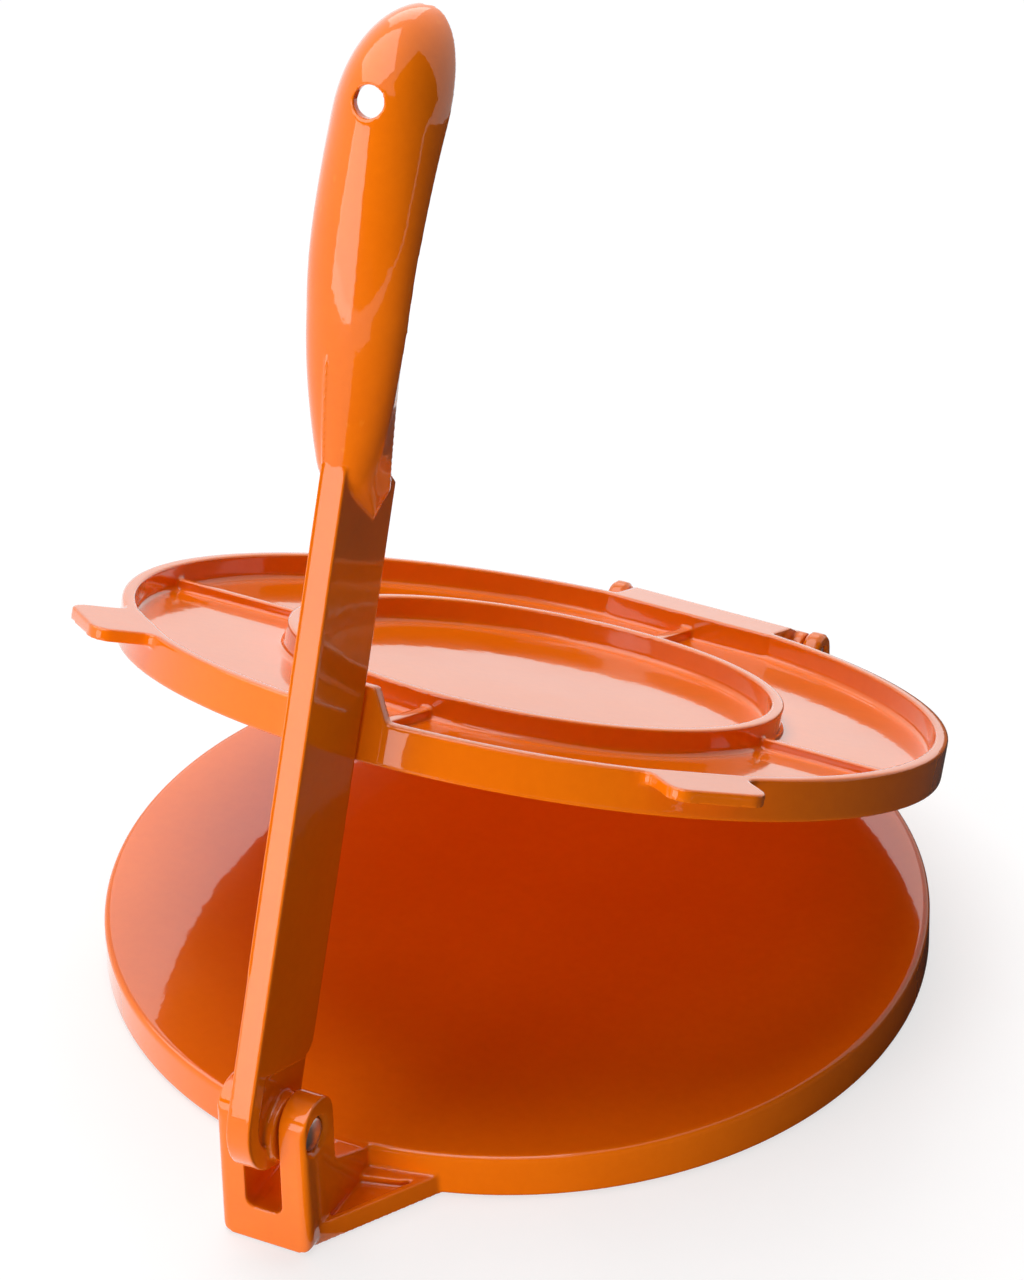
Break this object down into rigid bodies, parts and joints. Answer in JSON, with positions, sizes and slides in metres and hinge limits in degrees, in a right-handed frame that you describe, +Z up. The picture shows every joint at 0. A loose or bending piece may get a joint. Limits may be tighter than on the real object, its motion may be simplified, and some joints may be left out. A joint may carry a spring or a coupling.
{
  "type": "tortilla press",
  "caption": "Hand tortilla press: round base, upper plate hinged at the back, and a front lever with a hollow spoon grip that leans over the plate's hump to press dough flat.",
  "frame": {"origin": "middle of the base disc's underside, on the surface the press stands on", "axes": "+X to the right seen from the lever, +Y from the lever to the plate's hinge, +Z up"},
  "size_m": [0.2, 0.2578, 0.2749],
  "materials": {
    "enamel_base": "high-gloss orange enamel",
    "enamel_plate": "high-gloss orange enamel",
    "enamel_lever": "high-gloss orange enamel",
    "pin_steel": "plain drawn rod"
  },
  "bodies": {
    "base": {"base": "enamel_base", "hinge_pin": "pin_steel", "lever_pin": "pin_steel"},
    "upper_plate": {"upper_plate": "enamel_plate"},
    "lever": {"lever": "enamel_lever"}
  },
  "joints": [
    {"name": "plate_hinge", "type": "hinge", "parent": "base", "child": "upper_plate", "pos_m": [0, 0.1144, 0.01905], "axis": [-1, 0, 0], "range_deg": [-25.7, 75]},
    {"name": "lever_hinge", "type": "hinge", "parent": "base", "child": "lever", "pos_m": [0, -0.1223, 0.031], "axis": [-1, 0, 0], "range_deg": [-110, 0]}
  ]
}
